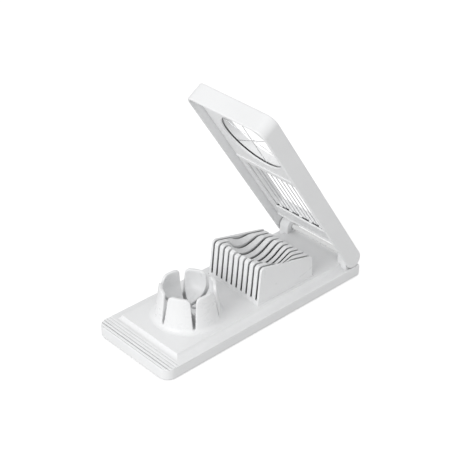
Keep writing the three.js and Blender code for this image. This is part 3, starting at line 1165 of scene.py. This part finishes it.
def bead(x, width):
    """A low bar across the plate with a rounded top."""
    reach = inside - BEAD["from_side"]
    z = (PLATE[0] - BEAD["height"], BEAD["sunk_to"])
    bar = block("bead", (x - width / 2, x + width / 2), (-reach, reach), z)
    round_edges(bar, width * BEAD["round"], 4, lambda e: runs_along(e, 1) and middle(e).z < PLATE[0])
    return bar


combine(plate, bead(BEAD["x"], BEAD["width"]), "UNION")
combine(plate, bead(LIP_X, LIP_WIDTH), "UNION")
for cutter in window_cutters((PLATE[0] - PAST, PLATE[1] + PAST)):
    combine(plate, cutter, "DIFFERENCE")
soften(plate, PLATE_EDGE, 2)
stand_up(plate)
finish_piece(plate, "lid", lid_white, "white_plastic", "lid_inner_plate")

# %% [markdown]
# ## The hinge rod
# One white rod runs through both ears and into blind sockets in the lid's side walls. Its ends are
# chamfered so that it can be pushed in. It starts as a cylinder whose end faces are drawn out and
# shrunk.

# %% Rod with chamfered ends
CHAMFER = 0.6
TIP_SHARE = 0.72
ROD_EDGE = 0.12
axle = rod("hinge_axle", ROD_RADIUS, (-ROD_END + CHAMFER, ROD_END - CHAMFER), PIVOT.x, PIVOT.z, 48)
for side in (1, -1):
    pick(axle, "FACE", lambda f: f.normal.y * side > STRAIGHT)
    bpy.ops.mesh.extrude_region_move(TRANSFORM_OT_translate={"value": (0, CHAMFER * side, 0)})
    bpy.ops.transform.resize(value=(TIP_SHARE, 1, TIP_SHARE))
    put_down()
soften(axle, ROD_EDGE, 2)
finish_piece(axle, "base", rod_white, "white_plastic", "hinge_rod")

# %% [markdown]
# ## The wires
# The long wires are strung in hairpins, so each one turns towards its neighbour at both ends,
# inside the lid. Three thinner wires cross in the round window, one above another, with their ends
# hooked behind the window's wall. A wire is a drawn path given a round section, which keeps its
# bends true.

# %% A wire along a path
WIRE_LEVEL = 1.2
SLICE_WIRE = 0.3
WEDGE_WIRE = 0.25
WIRE_SMOOTH = math.radians(50)


def bend_wire(name, path, radius):
    """A drawn path turned into a round wire."""
    piece = draw(name, path)
    put_down()
    hold(piece)
    bpy.ops.object.convert(target="CURVE")
    piece = bpy.context.object
    piece.data.bevel_depth = radius
    piece.data.bevel_resolution = 3
    piece.data.use_fill_caps = True
    bpy.ops.object.convert(target="MESH")
    piece = bpy.context.object
    bpy.ops.object.mode_set(mode="EDIT")
    bpy.ops.mesh.select_all(action="SELECT")
    bpy.ops.mesh.remove_doubles(threshold=0.001)
    face_outwards()
    hold(piece)
    bpy.ops.object.shade_smooth_by_angle(angle=WIRE_SMOOTH)
    return piece


# %% Ten slicing wires
GRIP = 3.0
BEND = SLICE_PITCH / 2
QUARTER = [math.radians(90 * k / 6) for k in range(7)]
for i in range(SLICE_COUNT):
    y = (i - (SLICE_COUNT - 1) / 2) * SLICE_PITCH
    towards = 1 if i % 2 == 0 else -1
    bend_y = y + towards * BEND
    front_x = x0 - GRIP + BEND
    back_x = x1 + GRIP - BEND
    front = [
        (front_x - BEND * math.cos(a), bend_y - towards * BEND * math.sin(a), WIRE_LEVEL)
        for a in QUARTER
    ]
    back = [
        (back_x + BEND * math.cos(a), bend_y - towards * BEND * math.sin(a), WIRE_LEVEL)
        for a in reversed(QUARTER)
    ]
    wire = bend_wire(f"slicing_hairpin_{i + 1:02d}", front + back, SLICE_WIRE)
    stand_up(wire)
    finish_piece(wire, "lid", slice_steel, "cutting_wire", f"slicing_wire_{i + 1:02d}")

# %% Three wedging wires
HOOK = 1.6
HOOK_BEND = 0.4
STEP = 0.6
for i, turn in enumerate(WEDGE_TURNS):
    reach = ROUND_WINDOW["radius"] + GRIP - WEDGE_WIRE
    level = WIRE_LEVEL + (i - 1) * STEP
    path = [
        (-reach, 0, level + HOOK),
        (-reach, 0, level + HOOK_BEND),
        (-reach + HOOK_BEND, 0, level),
    ]
    path += [(-x, 0, z) for x, _, z in reversed(path)]
    wire = bend_wire(f"crossing_wire_{i + 1}", path, WEDGE_WIRE)
    turn_and_move(wire, (0, 0, turn), (ROUND_WINDOW["x"], 0, 0))
    stand_up(wire)
    finish_piece(wire, "lid", wedge_steel[i], "cutting_wire", f"wedge_wire_{i + 1}")

# %% [markdown]
# ## Camera, floor and lights
# A pale floor and wide soft lights suit white plastic, because hard lights burn it out. The camera
# looks down over the grip end with a long lens.

# %% Camera
CAMERA_PLACE = Vector((-0.5337, -0.5551, 0.5547))
CAMERA_TURN = math.radians(43.63)
CAMERA_DROP = math.radians(32.34)
CAMERA_ROLL = math.radians(0.9)
LENS = 95.13
SENSOR = 36
NEAREST = 0.01
forward = Vector((
    math.sin(CAMERA_TURN) * math.cos(CAMERA_DROP),
    math.cos(CAMERA_TURN) * math.cos(CAMERA_DROP),
    -math.sin(CAMERA_DROP),
))
level = Vector((math.cos(CAMERA_TURN), -math.sin(CAMERA_TURN), 0))
upright = level.cross(forward)
right = level * math.cos(CAMERA_ROLL) + upright * math.sin(CAMERA_ROLL)
up = upright * math.cos(CAMERA_ROLL) - level * math.sin(CAMERA_ROLL)
camera = bpy.data.objects.new("camera", bpy.data.cameras.new("camera"))
bpy.context.scene.collection.objects.link(camera)
camera_turn = Matrix((right, up, -forward)).transposed()
camera.matrix_world = Matrix.LocRotScale(CAMERA_PLACE, camera_turn, None)
camera.data.lens = LENS
camera.data.sensor_width = SENSOR
camera.data.clip_start = NEAREST
bpy.context.scene.camera = camera
bpy.context.scene.view_settings.view_transform = "Standard"
print("camera looks along", [round(v, 3) for v in forward])


# %% Floor
PAPER_ROUGH = 0.9
FIBRES = 300
PAPER_TONE = (0.60, 0.62)
PAPER_GLOW = 0.55
FLOOR_SIZE = 8
FLOOR_LEVEL = -0.0002


def paper_finish():
    """Matt backdrop paper with faint fibres.

    It looks overlit to the camera, but it throws only a plain pale light back on the object.
    """
    material, tree, shader = new_finish("backdrop_paper")
    shader.inputs["Roughness"].default_value = PAPER_ROUGH
    shader.inputs["Emission Color"].default_value = (1, 1, 1, 1)
    place = tree.nodes.new("ShaderNodeTexCoord").outputs["Object"]
    fibres = remap(tree, noise(tree, place, FIBRES, 3), 0.3, 0.7, *PAPER_TONE)
    shade = tree.nodes.new("ShaderNodeCombineColor")
    for channel in shade.inputs[:3]:
        feed(tree, fibres, channel)
    feed(tree, shade.outputs["Color"], shader.inputs["Base Color"])
    seen = tree.nodes.new("ShaderNodeLightPath").outputs["Is Camera Ray"]
    feed(tree, sums(tree, "MULTIPLY", seen, PAPER_GLOW), shader.inputs["Emission Strength"])
    return material


put_down()
bpy.ops.mesh.primitive_plane_add(size=FLOOR_SIZE, location=(0, 0, FLOOR_LEVEL))
floor = settle("floor")
floor.data.materials.append(paper_finish())
floor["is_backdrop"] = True
print("floor", FLOOR_SIZE, "m")

# %% Lights
WORLD_STRENGTH = 0.79
AIM = Vector((0, 0, 0.05))
world = bpy.data.worlds.new("studio")
world.use_nodes = True
sky = world.node_tree.nodes["Background"]
sky.inputs["Color"].default_value = (1, 1, 1, 1)
sky.inputs["Strength"].default_value = WORLD_STRENGTH
bpy.context.scene.world = world


def soft_light(name, place, width, height, power):
    """A wide area light aimed at the middle of the object."""
    lamp = bpy.data.lights.new(name, "AREA")
    lamp.shape = "RECTANGLE"
    lamp.size = width
    lamp.size_y = height
    lamp.energy = power
    made = bpy.data.objects.new(name, lamp)
    bpy.context.scene.collection.objects.link(made)
    made.location = place
    made.rotation_mode = "QUATERNION"
    made.rotation_quaternion = (AIM - Vector(place)).to_track_quat("-Z", "Y")
    print("light", name, power, "W")


soft_light("key", (-1.56, -0.10, 0.84), 1.0, 0.8, 12.5)
soft_light("fill", (-1.05, -1.45, 0.12), 1.2, 0.5, 3.5)

# %% Finish
low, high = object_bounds()
print("visual box", [round(v, 4) for v in (*low, *high)])
